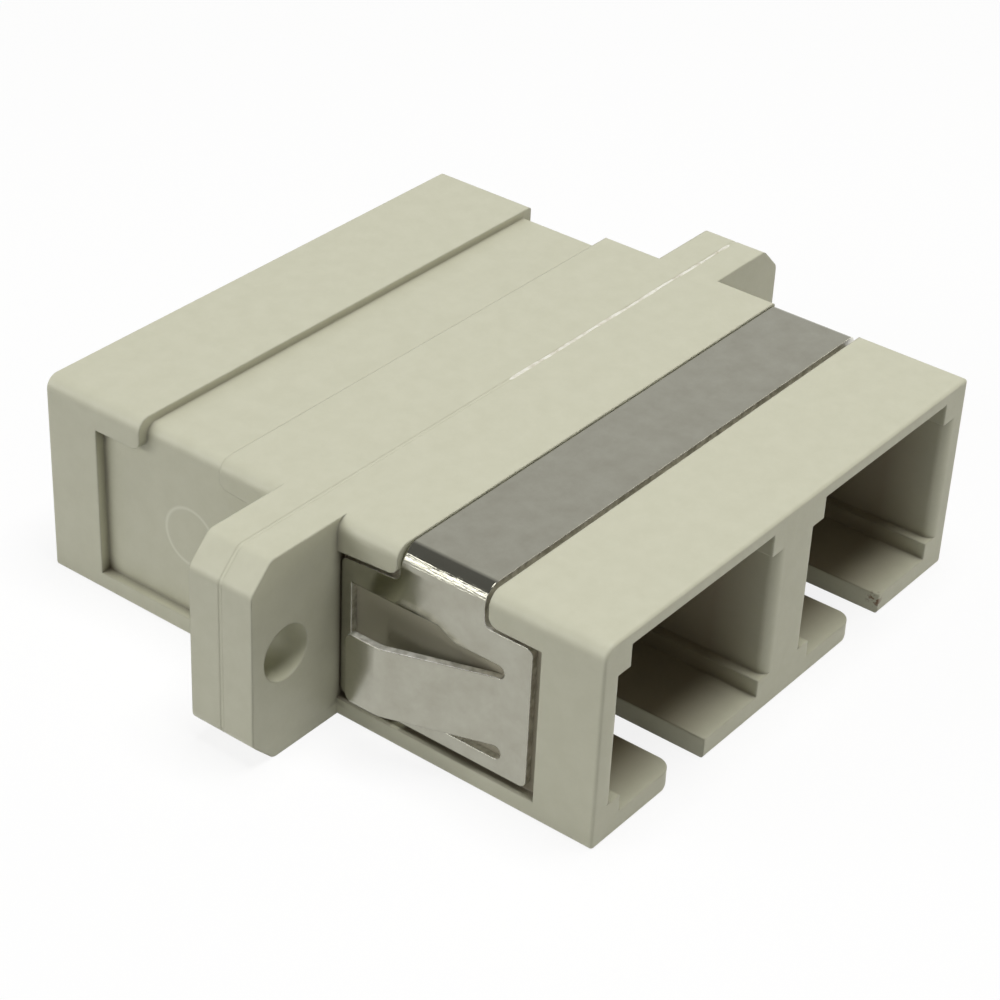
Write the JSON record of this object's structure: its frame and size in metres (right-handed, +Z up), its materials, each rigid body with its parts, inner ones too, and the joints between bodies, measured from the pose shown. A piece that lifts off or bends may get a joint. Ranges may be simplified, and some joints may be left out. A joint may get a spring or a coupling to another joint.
{
  "type": "duplex fibre optic coupler",
  "caption": "Flanged through coupler that joins push-pull fibre plugs end to end in aligned sleeves, with a sprung clip for a panel cut-out.",
  "frame": {"origin": "middle of the underside, below the joint between the two housing halves", "axes": "+X across the two ports, +Y along the fibres from the clip half to the plain half, +Z up through the clip's strap"},
  "size_m": [0.0344, 0.0278, 0.0091],
  "materials": {
    "housing": "fine-grained moulded thermoplastic in warm beige grey",
    "spring_steel": "cold rolled spring steel, satin with bright bent edges",
    "latch_plastic": "moulded thermoplastic, unpainted",
    "sleeve_bronze": "rolled phosphor bronze"
  },
  "bodies": {
    "root": {"front_housing": "housing", "rear_housing": "housing", "panel_clip": "spring_steel", "front_left_latch": "latch_plastic", "front_right_latch": "latch_plastic", "rear_left_latch": "latch_plastic", "rear_right_latch": "latch_plastic", "left_sleeve": "sleeve_bronze", "right_sleeve": "sleeve_bronze"}
  },
  "joints": []
}
